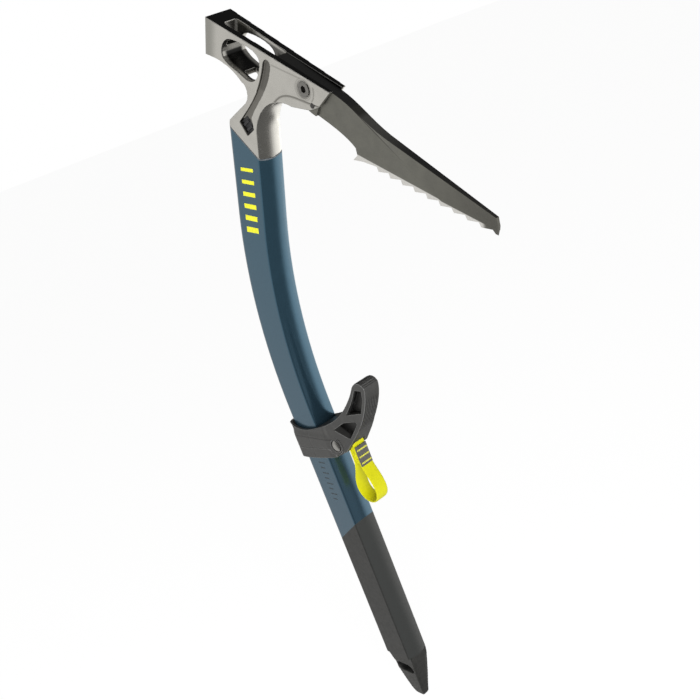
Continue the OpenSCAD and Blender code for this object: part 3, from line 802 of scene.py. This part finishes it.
materials = {
    "head_steel": head_steel(),
    "pick_steel": pick_steel(),
    "shaft_paint": shaft_paint(),
    "grip_rubber": grip_rubber(),
    "rest_plastic": rest_plastic(),
    "spike_steel": spike_steel(),
    "bolt_steel": plain_metal("bolt_steel", (0.48, 0.478, 0.455), 0.3),
    "bolt_dark": plain_metal("bolt_dark", (0.30, 0.295, 0.28), 0.36),
    "pin_steel": plain_metal("pin_steel", (0.12, 0.118, 0.115), 0.4),
    "black_plug": dark_rubber("black_plug", (0.02, 0.02, 0.021)),
    "black_seal": dark_rubber("black_seal", (0.075, 0.085, 0.095)),
    "pad_rubber": dark_rubber("pad_rubber", (0.014, 0.014, 0.014)),
    "tape_yellow": woven("tape_yellow", (0.52, 0.505, 0.0012), (0.44, 0.425, 0.001), 0.02),
    "tape_grey": woven("tape_grey", (0.085, 0.083, 0.08), (0.055, 0.054, 0.052), 0.1),
    "thread_yellow": woven("thread_yellow", (0.60, 0.585, 0.08), (0.50, 0.48, 0.06), 0.1),
}
slot_of = {s["node"]: s["material_slot"] for s in frame["record"]["subparts"]}
for name, obj in nodes.items():
    obj.data.materials.clear()
    obj.data.materials.append(materials[slot_of[name]])


CAD_AXES = Matrix.Identity(4)
FORGING_GRID = 0.4 * MM
MOULDING_GRID = 0.32 * MM
for name, node, body, grid, rounds, own_axes, shape, slot in (
    ("forged_head", "head_forging", "axe", FORGING_GRID, 4, HEAD, shape_head, "head_steel"),
    ("moulded_lever", "rest_lever", "lever", MOULDING_GRID, 5, REST, shape_lever, "rest_plastic"),
    ("moulded_slider", "rest_slider", "slider", MOULDING_GRID, 4, REST, None, "rest_plastic"),
    ("forged_spike", "spike", "axe", FORGING_GRID, 6, CAD_AXES, shape_spike, "spike_steel"),
):
    piece = rounded_copy(name, node, body, grid, rounds, own_axes, shape)
    piece.data.materials.append(materials[slot])
add_webbing()

# six slanted bars below the head, each a little shorter than the one under it, and nine ticks
BARS_START, BAR_PITCH = 131 * MM, 8.4 * MM
bars = [(BARS_START + i * BAR_PITCH, 3.8 * MM - 0.3 * MM * i, -5.5 * MM, 6.2 * MM, 3 * MM)
        for i in range(6)]
add_marks("print_bars", bars, printed("print_yellow", (0.72, 0.71, 0.006)))
TICKS_START, TICK_PITCH = -70 * MM, 4.2 * MM
ticks = [(TICKS_START + i * TICK_PITCH, 0.9 * MM, -1.5 * MM, 3.5 * MM + 2.2 * MM * (i % 2), 0)
         for i in range(9)]
add_marks("print_ticks", ticks, printed("print_dark", (0.012, 0.024, 0.032)))


# ---- floor, light and camera ----
PALE = (1.0, 1.0, 1.0)
FLOOR_HALF = 30.0
DIM_ROOM = 0.13
STUDIO_TINT = (1.0, 0.985, 0.96)
LENS_MM = 50
SENSOR_MM = 36
CAMERA_AT = Vector((0.54737, -0.31653, 0.36363))
CAMERA_RIGHT = Vector((0.60101, 0.72389, -0.33878))
CAMERA_DOWN = Vector((0.025, -0.44069, -0.89731))
CAMERA_AHEAD = Vector((-0.79885, 0.53082, -0.28295))
MIDDLE = (0.05, 0, 0.15)


def add_floor():
    ground = cad_box[0][2] - FLOOR_GAP
    corners = [(x * FLOOR_HALF, y * FLOOR_HALF, ground)
               for x, y in ((-1, -1), (1, -1), (1, 1), (-1, 1))]
    mesh = bpy.data.meshes.new("floor")
    mesh.from_pydata(corners, [], [(0, 1, 2, 3)])
    floor = new_piece("floor", mesh)
    f = Finish("floor", (0.10, 0.10, 0.10), 0.9)
    f.shader.inputs["Specular IOR Level"].default_value = 0.0
    f.shader.inputs["Emission Color"].default_value = (1, 1, 1, 1)
    f.shader.inputs["Emission Strength"].default_value = 0.95
    mesh.materials.append(f.material)
    floor.visible_glossy = False


def add_world():
    """A pale backdrop to the camera; to reflections, a dim room with soft light panels."""
    world = bpy.data.worlds.new("studio")
    world.use_nodes = True
    tree = world.node_tree
    scene.world = world
    back = tree.nodes["Background"]
    direction = build(tree, "ShaderNodeTexCoord").outputs["Generated"]

    def panel(toward, wide, soft, strength):
        """A round light of wide degrees from its middle to its rim, and soft degrees beyond."""
        aim = tuple(Vector(toward).normalized())
        dot = build(tree, "ShaderNodeVectorMath", {0: direction, 1: aim},
                    operation="DOT_PRODUCT").outputs["Value"]
        low = math.cos(math.radians(wide + soft))
        high = math.cos(math.radians(wide))
        return build(tree, "ShaderNodeMapRange", {
            "Value": dot, "From Min": low, "From Max": high, "To Min": 0.0, "To Max": strength,
        }, interpolation_type="SMOOTHSTEP").outputs["Result"]

    panels = [
        panel((-0.80, -0.53, -0.28), 34, 30, 0.54),
        panel((0.30, 0.93, -0.20), 20, 26, 1.25),
        panel((-0.42, 0.80, -0.44), 13, 14, 1.15),
        panel((0.97, 0.0, -0.05), 14, 24, 0.24),
    ]
    total = DIM_ROOM
    for lit in panels:
        total = build(tree, "ShaderNodeMath", {0: lit, 1: total}, operation="ADD").outputs[0]
    eye = build(tree, "ShaderNodeLightPath").outputs["Is Camera Ray"]
    room = build(tree, "ShaderNodeVectorMath", {0: STUDIO_TINT, "Scale": total},
                 operation="SCALE").outputs[0]
    mix = build(tree, "ShaderNodeMix", {MIX_FACTOR: eye, MIX_A: room, MIX_B: (*PALE, 1)},
                data_type="RGBA")
    tree.links.new(mix.outputs[MIX_RESULT], back.inputs["Color"])
    back.inputs["Strength"].default_value = 1.0


def add_light(name, place, aim, size, power):
    data = bpy.data.lights.new(name, "AREA")
    data.shape = "SQUARE"
    data.size = size
    data.energy = power
    light = bpy.data.objects.new(name, data)
    scene.collection.objects.link(light)
    light.location = place
    light.rotation_euler = (Vector(aim) - Vector(place)).to_track_quat("-Z", "Y").to_euler()
    light.visible_glossy = False


def add_camera():
    data = bpy.data.cameras.new("camera")
    data.lens = LENS_MM
    data.sensor_width = SENSOR_MM
    camera = bpy.data.objects.new("camera", data)
    scene.collection.objects.link(camera)
    turn = Matrix((CAMERA_RIGHT, -CAMERA_DOWN, -CAMERA_AHEAD)).transposed().to_4x4()
    camera.matrix_world = Matrix.Translation(CAMERA_AT) @ turn
    scene.camera = camera


add_floor()
add_world()
add_light("key", (-0.5, -1.3, 0.5), MIDDLE, 1.0, 6)
add_light("fill", (1.1, -0.6, 0.4), MIDDLE, 0.8, 20)
add_camera()
scene.view_settings.view_transform = "Standard"
